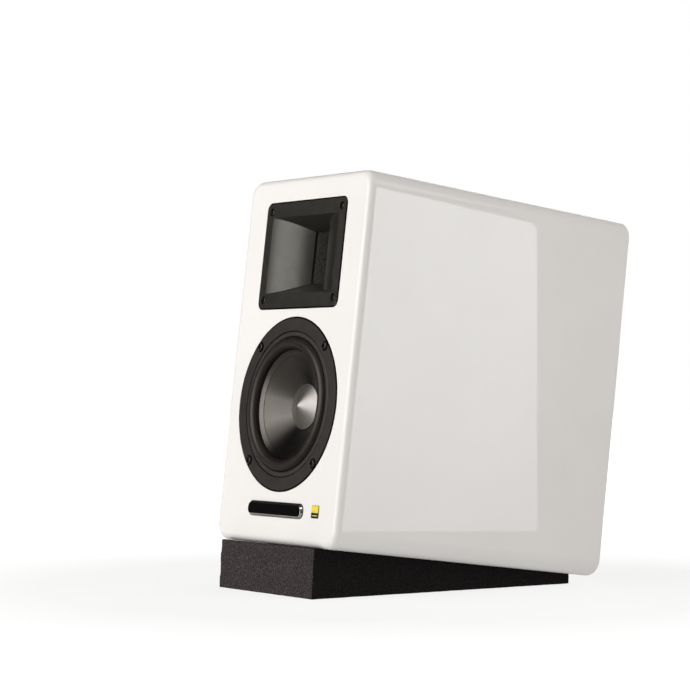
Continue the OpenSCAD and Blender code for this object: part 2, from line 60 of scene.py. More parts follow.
# ---------- the cabinet's own axes, read from the frame ----------

upright = Vector(next(j["axis"] for j in frame["joints"] if j["name"] == "cabinet_lift_off"))
LEAN = Matrix.Rotation(-math.atan2(upright.y, upright.z), 4, "X")


def points_of(node):
    return np.array([v.co for v in frame["nodes"][node].data.vertices], float)


def leaned(node):
    """A node's points along the leaning cabinet's axes, in metres."""
    return points_of(node) @ np.array(LEAN.to_3x3())


foot = leaned("front_baffle").min(0)
CABINET = LEAN @ Matrix.Translation((0, foot[1], foot[2]))


class Box:
    """A CAD node's box along the cabinet's axes, in millimetres from its lower front edge."""

    def __init__(self, node):
        spots = (leaned(node) - np.array([0, foot[1], foot[2]])) / MM
        self.low = spots.min(0)
        self.high = spots.max(0)
        self.size = self.high - self.low
        self.mid = (self.high + self.low) / 2


def front(x, z, depth=0.0):
    """The frame of something on the front board: Z out of the board, X right, Y up."""
    place = Matrix.Translation((x * MM, depth * MM, z * MM))
    return CABINET @ place @ Matrix.Rotation(math.pi / 2, 4, "X")


def rear(x, z, depth):
    """The frame of something on the back: Z out of the back, Y up."""
    place = Matrix.Translation((x * MM, depth * MM, z * MM))
    return CABINET @ place @ Matrix.Rotation(-math.pi / 2, 4, "X") @ Matrix.Rotation(math.pi, 4, "Z")


# ---------- mesh tools ----------

def placed(name, data):
    """A new object in the scene."""
    made = bpy.data.objects.new(name, data)
    bpy.context.scene.collection.objects.link(made)
    return made


def dress(mesh, crease=CREASE):
    mesh.shade_smooth()
    mesh.set_sharp_from_angle(angle=math.radians(crease))


def solid(name, points, faces, crease=CREASE):
    """A closed mesh at the origin, with its normals facing out."""
    mesh = bpy.data.meshes.new(name)
    mesh.from_pydata([tuple(c * MM for c in p) for p in points], [], faces)
    shell = bmesh.new()
    shell.from_mesh(mesh)
    bmesh.ops.recalc_face_normals(shell, faces=shell.faces)
    shell.to_mesh(mesh)
    shell.free()
    dress(mesh, crease)
    return placed(name, mesh)


def skin(name, loops, ring=False, crease=CREASE):
    """Skins a row of closed loops of equal length. A loop of one point is a pole. A ring has no ends."""
    points, starts = [], []
    for loop in loops:
        starts.append((len(points), len(loop)))
        points.extend(loop)
    faces = []
    pairs = list(zip(starts, starts[1:]))
    if ring:
        pairs.append((starts[-1], starts[0]))
    for (a, count_a), (b, count_b) in pairs:
        count = max(count_a, count_b)
        for k in range(count):
            n = (k + 1) % count
            if count_a == 1:
                faces.append((a, b + n, b + k))
            elif count_b == 1:
                faces.append((a + k, a + n, b))
            else:
                faces.append((a + k, a + n, b + n, b + k))
    if not ring:
        for start, count in (starts[0], starts[-1]):
            if count > 1:
                faces.append(tuple(range(start, start + count)))
    return solid(name, points, faces, crease)


def join(name, pieces):
    """Several shells as one piece."""
    points, faces = [], []
    for piece in pieces:
        base = len(points)
        points.extend(tuple(v.co / MM) for v in piece.data.vertices)
        faces.extend(tuple(base + i for i in f.vertices) for f in piece.data.polygons)
        bpy.data.objects.remove(piece)
    return solid(name, points, faces)


def loop_of(radius_at, height, at, count):
    """A level loop whose radius follows its angle."""
    turn = [2 * math.pi * k / count for k in range(count)]
    return [(at[0] + radius_at(a) * math.cos(a), at[1] + radius_at(a) * math.sin(a), height) for a in turn]


def circle(radius, height, at=(0, 0), count=SEGMENTS):
    if radius == 0:
        return [(at[0], at[1], height)]
    return loop_of(lambda a: radius, height, at, count)


def rectangle(width, tall, radius, height, at=(0, 0), steps=8):
    """A loop round a rectangle whose corners are arcs."""
    loop = []
    for quarter, (i, j) in enumerate(((1, 1), (-1, 1), (-1, -1), (1, -1))):
        for k in range(steps + 1):
            a = (quarter + k / steps) * math.pi / 2
            x = at[0] + i * (width / 2 - radius) + radius * math.cos(a)
            y = at[1] + j * (tall / 2 - radius) + radius * math.sin(a)
            loop.append((x, y, height))
    return loop


def hexagon(radius, height, at, count):
    """A hexagon as a loop with many points; radius is to its flats."""
    side = math.pi / 3
    return loop_of(lambda a: radius / math.cos(a % side - side / 2), height, at, count)


def quarter_turn(steps):
    return [math.pi / 2 * k / steps for k in range(steps + 1)]


def eased(corners, closed=True, steps=5):
    """An outline from (across, along, radius) corners, each rounded by an arc of its radius."""
    outline = []
    last = len(corners) - 1
    for i, (across, along, radius) in enumerate(corners):
        here = Vector((across, along))
        if radius == 0 or (not closed and i in (0, last)):
            outline.append(here)
            continue
        back = (Vector(corners[i - 1][:2]) - here).normalized()
        on = (Vector(corners[(i + 1) % len(corners)][:2]) - here).normalized()
        half = back.angle(on) / 2
        centre = here + (back + on).normalized() * (radius / math.sin(half))
        start = here + back * (radius / math.tan(half)) - centre
        end = here + on * (radius / math.tan(half)) - centre
        way = math.copysign(math.pi - 2 * half, start.x * end.y - start.y * end.x)
        for k in range(steps + 1):
            a = way * k / steps
            x = start.x * math.cos(a) - start.y * math.sin(a)
            y = start.x * math.sin(a) + start.y * math.cos(a)
            outline.append(centre + Vector((x, y)))
    return [tuple(p) for p in outline]


def turned(name, corners, ring=True, steps=5):
    """Turns an outline of (radius, depth, easing) corners about Z. Depth runs into the cabinet."""
    return skin(name, [circle(r, -depth) for r, depth in eased(corners, ring, steps)], ring)


def tube(path, radius, sides=6):
    """A round bar along points, as a row of loops square to them."""
    path = [Vector(p) for p in path]
    turn = [2 * math.pi * k / sides for k in range(sides)]
    loops = []
    side = Vector((0, 0, 1))
    for i, here in enumerate(path):
        on = (path[min(i + 1, len(path) - 1)] - path[max(i - 1, 0)]).normalized()
        across = on.cross(side).normalized()
        lift = across.cross(on)
        loops.append([tuple(here + (across * math.cos(a) + lift * math.sin(a)) * radius) for a in turn])
    return loops


def baked(piece):
    """Applies the piece's modifiers."""
    bpy.context.view_layer.update()
    shown = piece.evaluated_get(bpy.context.evaluated_depsgraph_get())
    mesh = bpy.data.meshes.new_from_object(shown)
    piece.modifiers.clear()
    piece.data = mesh
    mesh.name = piece.name
    return piece


def cut(piece, *tools):
    """Cuts solids out of a piece, then drops them."""
    for tool in tools:
        knife = piece.modifiers.new("cut", "BOOLEAN")
        knife.operation = "DIFFERENCE"
        knife.solver = "EXACT"
        knife.object = tool
        baked(piece)
        bpy.data.objects.remove(tool)
    dress(piece.data)
    return piece


def true_normals(piece):
    """Shades flat faces flat right up to their rounded edges."""
    weights = piece.modifiers.new("normals", "WEIGHTED_NORMAL")
    weights.keep_sharp = True
    weights.mode = "FACE_AREA"
    return baked(piece)


def eased_wall(ease):
    """(outset, height) steps down a pocket's eased rim, from above the face to its straight wall."""
    arc = [math.radians(100 + 16 * k) for k in range(6)]
    down = [(ease * (1 + math.cos(a)), ease * (math.sin(a) - 1)) for a in arc]
    lead = (down[0][0] + 2, down[0][1] + 2 * math.tan(math.radians(10)))
    return [(lead[0], 1.0), lead, *down]


def round_pocket(radius, depth, ease, at, through, deep=25.0, face=0.0):
    """A cutter for a round pocket, with a narrower hole on through its floor."""
    loops = [circle(0, face + 1.0, at)]
    loops += [circle(radius + out, face + h, at) for out, h in eased_wall(ease)]
    loops += [circle(r, -d, at) for r, d in ((radius, depth), (through, depth), (through, deep), (0, deep))]
    return skin("cutter", loops)


def slot_pocket(width, tall, radius, depth, at, ease, hole, deep=25.0):
    """A cutter for a pocket with round corners; hole is the (width, height, radius) on through."""
    loops = [rectangle(width + 2 * o, tall + 2 * o, radius + o, h, at) for o, h in eased_wall(ease)]
    loops.append(rectangle(width, tall, radius, -depth, at))
    loops += [rectangle(*hole, -depth, at), rectangle(*hole, -deep, at)]
    return skin("cutter", loops)


def fit(piece, place, body, slot, *nodes, finish=None):
    """Puts a piece where it goes, on its body, in its slot's finish or another, for its CAD nodes."""
    piece.matrix_world = place
    piece.data.materials.clear()
    piece.data.materials.append(finish or SLOT_FINISH[slot])
    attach(piece, body)
    if nodes:
        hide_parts(*nodes)
    return piece


# ---------- finishes ----------

def srgb(code):
    """A linear colour from a six-digit code."""
    parts = [int(code[i:i + 2], 16) / 255 for i in (0, 2, 4)]
    return [c / 12.92 if c <= 0.04045 else ((c + 0.055) / 1.055) ** 2.4 for c in parts]


ACROSS_MARKS = 0.25  # quarter turn: turned metal spreads its highlights across its tool marks


class Finish:
    """A procedural material built up from noise in the piece's own coordinates."""

    def __init__(self, name, **sockets):
        self.material = bpy.data.materials.new(name)
        self.material.use_nodes = True
        self.tree = self.material.node_tree
        self.shader = self.tree.nodes["Principled BSDF"]
        self.coordinates = self.tree.nodes.new("ShaderNodeTexCoord").outputs["Object"]
        self.normal = None
        for socket, value in sockets.items():
            self.shader.inputs[socket.replace("_", " ")].default_value = value

    def node(self, kind, **settings):
        made = self.tree.nodes.new(kind)
        for key, value in settings.items():
            setattr(made, key, value)
        return made

    def link(self, source, target):
        self.tree.links.new(source, target)

    def sum(self, operation, *terms):
        """A Math node of this operation; a term is a number or another node's output."""
        made = self.node("ShaderNodeMath", operation=operation)
        for socket, term in zip(made.inputs, terms):
            if isinstance(term, float):
                socket.default_value = term
            else:
                self.link(term, socket)
        return made.outputs["Value"]

    def split(self, source, axis):
        """One coordinate of a vector."""
        made = self.node("ShaderNodeSeparateXYZ")
        self.link(source, made.inputs["Vector"])
        return made.outputs[axis]

    def grain(self, size, detail=3.0, stretch=(1, 1, 1), rough=0.5):
        """Noise whose features are about size millimetres across."""
        spread = self.node("ShaderNodeMapping")
        spread.inputs["Scale"].default_value = stretch
        self.link(self.coordinates, spread.inputs["Vector"])
        texture = self.node("ShaderNodeTexNoise")
        texture.inputs["Scale"].default_value = 1 / (size * MM)
        texture.inputs["Detail"].default_value = detail
        texture.inputs["Roughness"].default_value = rough
        self.link(spread.outputs["Vector"], texture.inputs["Vector"])
        return texture.outputs["Fac"]

    def cells(self, size, feature="F1"):
        texture = self.node("ShaderNodeTexVoronoi", feature=feature)
        texture.inputs["Scale"].default_value = 1 / (size * MM)
        self.link(self.coordinates, texture.inputs["Vector"])
        return texture.outputs["Distance"]

    def radius_from_axis(self):
        """Distance from the piece's own Z axis, in metres."""
        flat = self.node("ShaderNodeVectorMath", operation="MULTIPLY")
        flat.inputs[1].default_value = (1, 1, 0)
        self.link(self.coordinates, flat.inputs[0])
        far = self.node("ShaderNodeVectorMath", operation="LENGTH")
        self.link(flat.outputs["Vector"], far.inputs[0])
        return far.outputs["Value"]

    def turning(self, pitch):
        """Fine tool marks round the Z axis, about pitch millimetres apart."""
        texture = self.node("ShaderNodeTexNoise", noise_dimensions="1D")
        texture.inputs["Scale"].default_value = 1 / (pitch * MM)
        texture.inputs["Detail"].default_value = 4.0
        self.link(self.radius_from_axis(), texture.inputs["W"])
        return texture.outputs["Fac"]

    def scaled(self, source, low, high, start=0.3, end=0.7):
        """Stretches a noise's middle range over low to high."""
        stretch = self.node("ShaderNodeMapRange")
        stretch.inputs["From Min"].default_value = start
        stretch.inputs["From Max"].default_value = end
        stretch.inputs["To Min"].default_value = low
        stretch.inputs["To Max"].default_value = high
        self.link(source, stretch.inputs["Value"])
        return stretch.outputs["Result"]

    def colour(self, source, low, high, start=0.3, end=0.7):
        """Base colour from low to high as the source goes from start to end."""
        ramp = self.node("ShaderNodeValToRGB")
        first, second = ramp.color_ramp.elements
        first.position, second.position = start, end
        first.color = (*srgb(low), 1)
        second.color = (*srgb(high), 1)
        self.link(source, ramp.inputs["Fac"])
        self.link(ramp.outputs["Color"], self.shader.inputs["Base Color"])
        return self

    def roughness(self, source, low, high):
        self.link(self.scaled(source, low, high), self.shader.inputs["Roughness"])
        return self

    def relief(self, source, height, strength=1.0):
        """Bump of the given height in millimetres, on top of any bump before it."""
        bump = self.node("ShaderNodeBump")
        bump.inputs["Distance"].default_value = height * MM
        bump.inputs["Strength"].default_value = strength
        self.link(source, bump.inputs["Height"])
        if self.normal:
            self.link(self.normal, bump.inputs["Normal"])
        self.normal = bump.outputs["Normal"]
        self.link(self.normal, self.shader.inputs["Normal"])
        return self

    def radial(self):
        """Turns the highlight's stretch round the Z axis."""
        tangent = self.node("ShaderNodeTangent", direction_type="RADIAL", axis="Z")
        self.link(tangent.outputs["Tangent"], self.shader.inputs["Tangent"])
        return self


def mottled(name, colours, sheen, bumps, rough=0.5, **sockets):
    """A finish of three noises, each with its grain size and detail after its range or height."""
    finish = Finish(name, **sockets)
    low, high, size, detail = colours
    finish.colour(finish.grain(size, detail, rough=rough), low, high)
    least, most, size, detail = sheen
    finish.roughness(finish.grain(size, detail), least, most)
    height, size, detail = bumps
    finish.relief(finish.grain(size, detail), height)
    return finish.material


def plain(name, low, high, rough, spread=0.06, size=7.0, fine=0.5, height=0.01, **sockets):
    """A moulded, painted or cast finish: soft mottling, uneven sheen and a fine surface grain."""
    sheen = (rough - spread, rough + spread, size * 0.6, 5.0)
    return mottled(name, (low, high, size, 4.0), sheen, (height, fine, 2.0), **sockets)


def make_foam():
    """Open-cell foam: speckled pores, with painted shade that darkens the sides against the front and back."""
    finish = Finish("foam_open_cell", Specular_IOR_Level=0.1)
    pores = finish.cells(1.15)
    speckle = finish.grain(0.8, 4.0, rough=0.7)
    finish.colour(finish.sum("MULTIPLY", pores, speckle), "1c1919", "4a4444", 0.06, 0.42)
    # Painted shade: the colour is multiplied down where the face turns sideways, so the sides read darker than the
    # front and back.
    side_shade = finish.node("ShaderNodeMixRGB", blend_type="MULTIPLY")
    side_shade.inputs["Color2"].default_value = (0.24, 0.23, 0.23, 1)
    facing = finish.split(finish.node("ShaderNodeTexCoord").outputs["Normal"], "Y")
    finish.link(finish.scaled(finish.sum("ABSOLUTE", facing), 1, 0, 0.2, 0.9), side_shade.inputs["Fac"])
    finish.link(finish.shader.inputs["Base Color"].links[0].from_socket, side_shade.inputs["Color1"])
    finish.link(side_shade.outputs["Color"], finish.shader.inputs["Base Color"])
    finish.roughness(speckle, 0.9, 1.0)
    finish.relief(pores, 0.35, 0.7)
    finish.relief(speckle, 0.25, 0.6)
    return finish.material


def make_spun(name, low, high, stretch, pitch, sheen, relief):
    """Bare metal with turned marks; sheen is its (grain size, lowest, highest) roughness."""
    finish = Finish(name, Metallic=1.0, Anisotropic=stretch, Anisotropic_Rotation=ACROSS_MARKS)
    marks = finish.turning(pitch)
    finish.colour(marks, low, high)
    size, least, most = sheen
    finish.roughness(finish.grain(size, 3.0), least, most)
    finish.relief(marks, relief)
    return finish.radial().material


def make_metal(name, low, high, rough, stretch=(1, 1, 1)):
    """Bare or plated metal with drawn grain along its shortest stretch."""
    finish = Finish(name, Metallic=1.0)
    finish.colour(finish.grain(9.0, 4.0), low, high)
    finish.roughness(finish.grain(1.2, 4.0, stretch), rough * 0.8, rough * 1.2)
    finish.relief(finish.grain(0.4, 3.0, stretch), 0.004)
    return finish.material


def make_cloth(name, low, high, thread):
    """A woven or felted sheet: crossed threads under a fine fuzz."""
    finish = Finish(name, Sheen_Weight=0.3, Specular_IOR_Level=0.2)
    fuzz = finish.grain(thread * 2, 5.0, rough=0.7)
    finish.colour(fuzz, low, high)
    finish.roughness(fuzz, 0.8, 0.95)
    finish.relief(finish.cells(thread), 0.12)
    return finish.material


def make_board():
    finish = Finish("circuit_board", Coat_Weight=0.4, Coat_Roughness=0.15)
    tracks = finish.cells(2.4, "DISTANCE_TO_EDGE")
    finish.colour(tracks, "0f4a2c", "1a6a40", 0.02, 0.12)
    finish.roughness(finish.grain(3.0, 3.0), 0.3, 0.42)
    finish.relief(tracks, 0.03)
    return finish.material


def make_laminated():
    """A transformer: stacked sheets seen as fine lines, with varnish over them."""
    finish = Finish("varnished_laminations", Metallic=0.3)
    sheets = finish.grain(0.7, 2.0, (0.05, 1, 0.05))
    finish.colour(sheets, "4d4336", "7b6d57")
    finish.roughness(finish.grain(3.0, 3.0), 0.45, 0.6)
    finish.relief(sheets, 0.08)
    return finish.material


def make_inserts():
    """Moulded liners of the two line inputs: white on the left channel, red on the right."""
    finish = Finish("line_input_inserts", Coat_Weight=0.3)
    wobble = finish.grain(0.8, 2.0)
    across = finish.sum("MULTIPLY_ADD", wobble, 0.4 * MM, finish.split(finish.coordinates, "X"))
    middle = Box("rca_inserts").mid[0] * MM
    where = finish.scaled(across, 0, 1, middle, middle + MM)
    finish.colour(where, "a81c18", "e6e4de", 0.4, 0.6)
    finish.roughness(finish.grain(2.0, 3.0), 0.25, 0.35)
    finish.relief(wobble, 0.01)
    return finish.material


HORN = plain("horn_plastic", "1d1c19", "23221e", 0.35, 0.04, 9.0, 0.45, 0.012,
             Specular_IOR_Level=0.54, Specular_Tint=(1, 0.99, 0.93, 1))
# Painted shade: a flat black that stands in for the shade in the front board's pockets, in screw recesses and in
# the gaps round the drivers' edges.
PAINTED_SHADE = plain("painted_pocket_shade", "040404", "080707", 0.8, 0.05, 5.0, 0.5, 0.01, Specular_IOR_Level=0.1)
MARKS = plain("printed_marks", "c8c6c2", "dcdad6", 0.5, 0.05, 3.0, 0.2, 0.003)
BADGE_BLACK = plain("badge_black", "1b1917", "272421", 0.3, 0.05, 3.0, 0.3, 0.004)

MIRROR = make_metal("polished_edge", "e2e1df", "ebeae8", 0.09)

SLOT_FINISH = {
    "fibreboard": mottled(
        "raw_fibreboard", ("8f7350", "b89a72", 1.6, 6.0), (0.78, 0.92, 4.0, 3.0), (0.06, 0.7, 4.0),
        rough=0.7, Specular_IOR_Level=0.2),
    "white_lacquer": mottled(       # paint under a polished clear coat, with a trace of orange peel
        "white_lacquer", ("f0eeeb", "f3f1ee", 60.0, 3.0), (0.3, 0.4, 25.0, 4.0), (0.0005, 6.0, 1.0),
        Specular_IOR_Level=0.1, Coat_Weight=0.5, Coat_Roughness=0.02, Coat_IOR=1.5),
    "wadding": make_cloth("polyester_wadding", "c9c9c2", "e9e9e4", 1.4),
    "black_plastic": plain("black_plastic", "181716", "211f1e", 0.5, 0.07, 8.0, 0.45, 0.015),
    "charcoal_plastic": plain("charcoal_plastic", "2a2725", "33302d", 0.45, 0.06, 6.0, 0.4, 0.012),
    "black_screws": plain("black_oxide", "35312f", "464240", 0.3, 0.05, 1.6, 0.2, 0.003, Metallic=0.85),
    "mesh": plain("mesh_black", "6b6865", "7d7a76", 0.32, 0.06, 2.5, 0.2, 0.004, Metallic=0.9),
    "foil": make_metal("etched_foil", "26221d", "3a342b", 0.4, (1, 1, 0.08)),
    "magnet": plain("sintered_magnet", "2b2b2d", "3c3c3f", 0.6, 0.08, 3.0, 0.3, 0.03, Metallic=0.4),
    "soft_steel": make_metal("zinc_plated_steel", "8e9092", "b4b6b8", 0.38),
    "cast_frame": plain("cast_frame_paint", "282321", "2d2926", 0.42, 0.05, 7.0, 0.4, 0.01, Metallic=0.25),
    "trim": plain("trim_ring_satin", "211d1b", "272220", 0.45, 0.05, 7.0, 0.4, 0.008),
    "rubber": mottled(
        "surround_rubber", ("1a1614", "221c1a", 8.0, 4.0), (0.36, 0.44, 5.0, 4.0), (0.006, 0.35, 2.0),
        Specular_IOR_Level=0.34, Specular_Tint=(1, 0.95, 0.9, 1)),
    "cone_metal": make_spun("anodised_cone", "595653", "625f5b", 0.92, 0.35, (9.0, 0.33, 0.38), 0.001),
    "cap_metal": make_spun("spun_cap", "7d7a77", "918e8b", 0.35, 0.25, (6.0, 0.38, 0.43), 0.002),
    "coil_tube": plain("amber_film", "a9752c", "c08b3e", 0.35, 0.06, 3.0, 0.3, 0.01),
    "copper": make_metal("enamelled_wire", "8f4a22", "b8683a", 0.3, (1, 0.05, 1)),
    "spider_cloth": make_cloth("resin_dipped_cloth", "8f6d2a", "bd9a4e", 0.6),
    "window": mottled(
        "display_acrylic", ("0b0a0a", "100f0f", 30.0, 2.0), (0.03, 0.06, 12.0, 3.0), (0.001, 14.0, 1.0),
        Coat_Weight=0.5, Coat_Roughness=0.02),
    "board": make_board(),
    "digits": plain("tinted_epoxy", "2a0c0b", "3a1312", 0.25, 0.05, 4.0, 0.4, 0.004),
    "badge": plain("badge_yellow", "e6cf3f", "f2df5c", 0.28, 0.05, 3.0, 0.3, 0.004),
    "back_plate": plain("back_plate_powder", "191919", "232323", 0.5, 0.06, 6.0, 0.5, 0.03, Metallic=0.2),
    "heatsink": make_metal("clear_anodised", "9da0a3", "bcbfc1", 0.42, (1, 0.06, 1)),
    "transformer": make_laminated(),
    "capacitors": plain("blue_sleeve", "1b2146", "2a3263", 0.35, 0.06, 4.0, 0.4, 0.006, Metallic=0.2),
    "white_plastic": plain("natural_nylon", "c4c3bc", "d8d7d0", 0.45, 0.06, 3.0, 0.3, 0.01),
    "gold_plate": make_metal("gold_plated", "b08a3c", "d6b565", 0.22),
    "red_insert": make_inserts(),
    "foam": make_foam(),
}
slot_of = {part["node"]: part["material_slot"] for part in frame["record"]["subparts"]}
for name, node in frame["nodes"].items():
    node.data.materials.clear()
    node.data.materials.append(SLOT_FINISH[slot_of[name]])


# ---------- places, read from the frame ----------

board = Box("front_baffle")
wrap = Box("top_panel")
inside = Box("rear_panel")
basket = Box("woofer_basket")
horn = Box("tweeter_horn")
lens = Box("display_lens")
badge = Box("badge_plate")
woofer_screws = Box("woofer_screws")
horn_screws = Box("horn_screws")
WOOFER_R = basket.size[0] / 2 - 0.1
WOOFER = front(basket.mid[0], basket.mid[2])
WOOFER_REACH, HORN_REACH = 3.2, 2.5  # from a screw's middle to the edge of the screws' box
HORN_W, HORN_H = horn.size[0] - 0.2, horn.size[2] - 0.2
TWEETER = front(horn.mid[0], horn.mid[2])


# ---------- cabinet ----------

ROUND_STEPS = 8
SHADE_DEPTH = 0.12  # pockets get painted shade, flat black, from this deep
INNER_CORNER = 1.0
CORNER = 12.0  # radius of the four long corners
wide, tall, deep = board.size[0], board.size[2], wrap.high[1]
wall = (wide - inside.size[0]) / 2


def make_cabinet():
    """The lacquered box: a hollow shell open at the back, with the front board's pockets cut in it."""
    def loop(inset, height):
        radius = max(CORNER - inset, INNER_CORNER)
        return rectangle(wide - 2 * inset, tall - 2 * inset, radius, height, steps=16)

    quarter = quarter_turn(ROUND_STEPS)
    loops = [loop(EDGE * (1 - math.sin(a)), -EDGE * (1 - math.cos(a))) for a in quarter]
    loops += [loop(EDGE * (1 - math.cos(a)), EDGE - deep - EDGE * math.sin(a)) for a in quarter]
    loops += [loop(wall, -deep), loop(wall, -board.size[1])]
    shell = skin("cabinet_lacquer", loops)

    def low(z):
        return z - tall / 2

    woofer = round_pocket(WOOFER_R + GAP, 4.6, 0.25, at=(0, low(basket.mid[2])), through=51.6)
    tweeter = slot_pocket(
        HORN_W + 2 * GAP, HORN_H + 2 * GAP, 5.5, 3.0,
        at=(0, low(horn.mid[2])), ease=0.25, hole=(77.8, 58.4, 1.0))
    window = slot_pocket(
        lens.size[0] + 0.4, lens.size[2] + 0.4, 4.4, 3.0,
        at=(0, low(lens.mid[2])), ease=0.2, hole=(62, 9, 1), deep=10)
    cut(shell, woofer, tweeter, window)
    true_normals(shell)
    fit(shell, front(0, tall / 2), "cabinet", "white_lacquer",
        "front_baffle", "left_side_panel", "right_side_panel", "top_panel", "bottom_panel")
    # Painted shade: pocket faces below the set depth take the flat black, standing in for the shade in the gaps
    # round the drivers and the window.
    shell.data.materials.append(PAINTED_SHADE)
    for face in shell.data.polygons:
        x, y, z = face.center / MM
        if max(abs(x) - wide / 2, abs(y) - tall / 2) < -wall and z < -SHADE_DEPTH:
            face.material_index = 1


FOAM_SPREAD = np.array((0.7, 0.5, 0))  # the soft edges take back this much


def make_foam_wedge():
    """The foam wedge: its cut edges are a little soft and its faces a little uneven."""
    spots = points_of("foam_stand") / MM
    low, high = spots.min(0), spots.max(0)
    top_front = spots[spots[:, 2].argmax()]
    at_back = spots[spots[:, 1] > high[1] - 0.01]
    low, high = low - FOAM_SPREAD, high + FOAM_SPREAD
    outline = [(low[1], 0.0, 0.2), (high[1], 0.0, 0.2), (high[1], at_back[:, 2].max(), 0.3),
               (top_front[1] - FOAM_SPREAD[1], high[2], 0.3)]
    middle = Vector(((low[1] + high[1]) / 2, high[2] / 2))

    def slice_at(x, inset):
        loop = []
        for y, z in eased(outline, steps=4):
            pull = (middle - Vector((y, z)))
            loop.append((x, y + math.copysign(min(inset, abs(pull.x)), pull.x),
                         z + math.copysign(min(inset, abs(pull.y)), pull.y)))
        return loop

    ends = [(0.0, 0.2), (0.2, 0.0)]
    loops = [slice_at(low[0] + x, inset) for x, inset in ends]
    loops += [slice_at(high[0] - x, inset) for x, inset in reversed(ends)]
    wedge = skin("foam_wedge", loops)
    remesh = wedge.modifiers.new("cells", "REMESH")
    remesh.mode = "VOXEL"
    remesh.voxel_size = 1.0 * MM
    baked(wedge)
    for v, normal in zip(wedge.data.vertices, [v.normal.copy() for v in wedge.data.vertices]):
        wave = noise.noise(v.co / (9 * MM)) + 0.6 * noise.noise(v.co / (2.6 * MM))
        v.co -= normal * (0.12 + 0.12 * wave) * MM
        v.co.z = max(v.co.z, 0)
    dress(wedge.data, 60)
    fit(wedge, Matrix(), "stand", "foam", "foam_stand")


# ---------- tweeter ----------

FLARE_R = 52  # radius of the flare's side walls, in plan
FLARE_X, FLARE_Y = 47.92, 51.03
MOUTH_HALF, THROAT_HALF = 27.0, 18.0
THROAT_DEPTH = 15.9
LIP = -0.5  # depth of the flange's front face


def flare_loop(angle, corner):
    """The flare's section where its side wall stands at this angle of its arc."""
    depth = FLARE_Y - FLARE_R * math.sin(angle)
    half_w = FLARE_X - FLARE_R * math.cos(angle)
    share = (depth - LIP) / (THROAT_DEPTH - LIP)
    half_h = MOUTH_HALF + (THROAT_HALF - MOUTH_HALF) * share
    return rectangle(2 * half_w, 2 * half_h, corner, -depth)


def spot_distance(spots, x, y):
    """Distance to the nearest of these spots."""
    return min(math.hypot(x - spot[0], y - spot[1]) for spot in spots)


def paint_shade(piece, where):
    """Paints shade as flat black wherever the test says so: painted shade in a screw's pocket, or a painted shadow
    line on its outer edge.
    """
    if len(piece.data.materials) < 2:
        piece.data.materials.append(PAINTED_SHADE)
    for face in piece.data.polygons:
        if where(*(face.center / MM)):
            face.material_index = 1


def make_horn():
    """The horn in one moulding: flange, flare with a crisp mouth on its left and right, and throat."""
    w, h = HORN_W, HORN_H
    first = math.asin((FLARE_Y - LIP) / FLARE_R)
    last = math.asin((FLARE_Y - THROAT_DEPTH) / FLARE_R)
    mouth = np.array(flare_loop(first, 1.2))
    second = first - 0.012      # just inside the mouth, where the rim's curve ends
    near = np.array(flare_loop(second, 1.2))
    outer = np.array(rectangle(2 * (FLARE_X - FLARE_R * math.cos(first)) + 0.5,
                               2 * MOUTH_HALF + 2.4, 1.6, -LIP))
    rim = []
    for k in range(6):
        s = k / 5
        rim.append([tuple(p) for p in (1 - s) ** 2 * outer + 2 * s * (1 - s) * mouth + s * s * near])
    walls = []
    for k in range(1, 23):
        s = k / 22
        walls.append(flare_loop(second + (last - second) * s, 1.2 - 0.7 * s))
    throat = [rectangle(19, 36, 0.5, -17.1), rectangle(22, 40, 0.5, -17.1), rectangle(22, 40, 0.5, -19)]
    shell = [rectangle(52, 54, 1.5, -19), rectangle(52, 54, 1.5, -13), rectangle(64, 56, 1.5, -9),
             rectangle(77, 57.6, 1.5, -5), rectangle(77, 57.6, 1.5, -3)]
    soft = 0.5
    edge = [rectangle(w, h, 4.6, -3)]
    for a in quarter_turn(5):
        inset = soft * (1 - math.cos(a))
        edge.append(rectangle(w - 2 * inset, h - 2 * inset, 4.6 - inset, -LIP - soft + soft * math.sin(a)))
    piece = skin("tweeter_horn_flare", rim + walls + throat + shell + edge, ring=True)
    spots = four_spots(horn_screws, HORN_REACH)
    cut(piece, *[round_pocket(2.7, 1.4, 0.2, at, through=1.6, deep=6.0, face=-LIP) for at in spots])
    true_normals(piece)
    fit(piece, TWEETER, "cabinet", "charcoal_plastic", "tweeter_horn", finish=HORN)
    # Painted shade: the screw pockets and the flange's eased outer edge are painted black for the shade in the
    # pockets and in the gap round the horn.
    paint_shade(piece, lambda x, y, z: z < -LIP - 0.25 and spot_distance(spots, x, y) < 2.8)
    paint_shade(piece, lambda x, y, z: max(abs(x) - w / 2, abs(y) - h / 2) > -soft)


def screw(at, top, head_r, head_h, shaft_r, length, flats, recess, easing=0.35):
    """A socket screw: eased head, hexagonal socket and ridged shank. Heights are out of the face."""
    count = 48
    under = top - head_h
    loops = [circle(0, top - recess - 0.4, at)]
    loops.append(hexagon(flats, top - recess, at, count))
    loops.append(hexagon(flats, top - 0.12, at, count))
    loops.append(hexagon(flats + 0.14, top, at, count))
    for a in reversed(quarter_turn(4)):
        loops.append(circle(head_r - easing + easing * math.cos(a),
                            top - easing + easing * math.sin(a), at, count))
    loops.append(circle(head_r, under, at, count))
    loops.append(circle(shaft_r, under, at, count))
    pitch = 1.0
    ridges = int((length - head_h) / pitch) - 2
    for k in range(ridges):
        z = under - 0.6 - k * pitch
        loops.append(circle(shaft_r * 0.74, z, at, count))
        loops.append(circle(shaft_r, z - pitch * 0.5, at, count))
    loops.append(circle(shaft_r * 0.6, top - length + 1, at, count))
    loops.append(circle(0, top - length, at, count))
    return skin("screw", loops)


def four_spots(box, reach):
    """The corners of a rectangle; reach is from each to the edge of the CAD box."""
    x, y = box.size[0] / 2 - reach, box.size[2] / 2 - reach
    return [(i * x, j * y) for i in (-1, 1) for j in (-1, 1)]


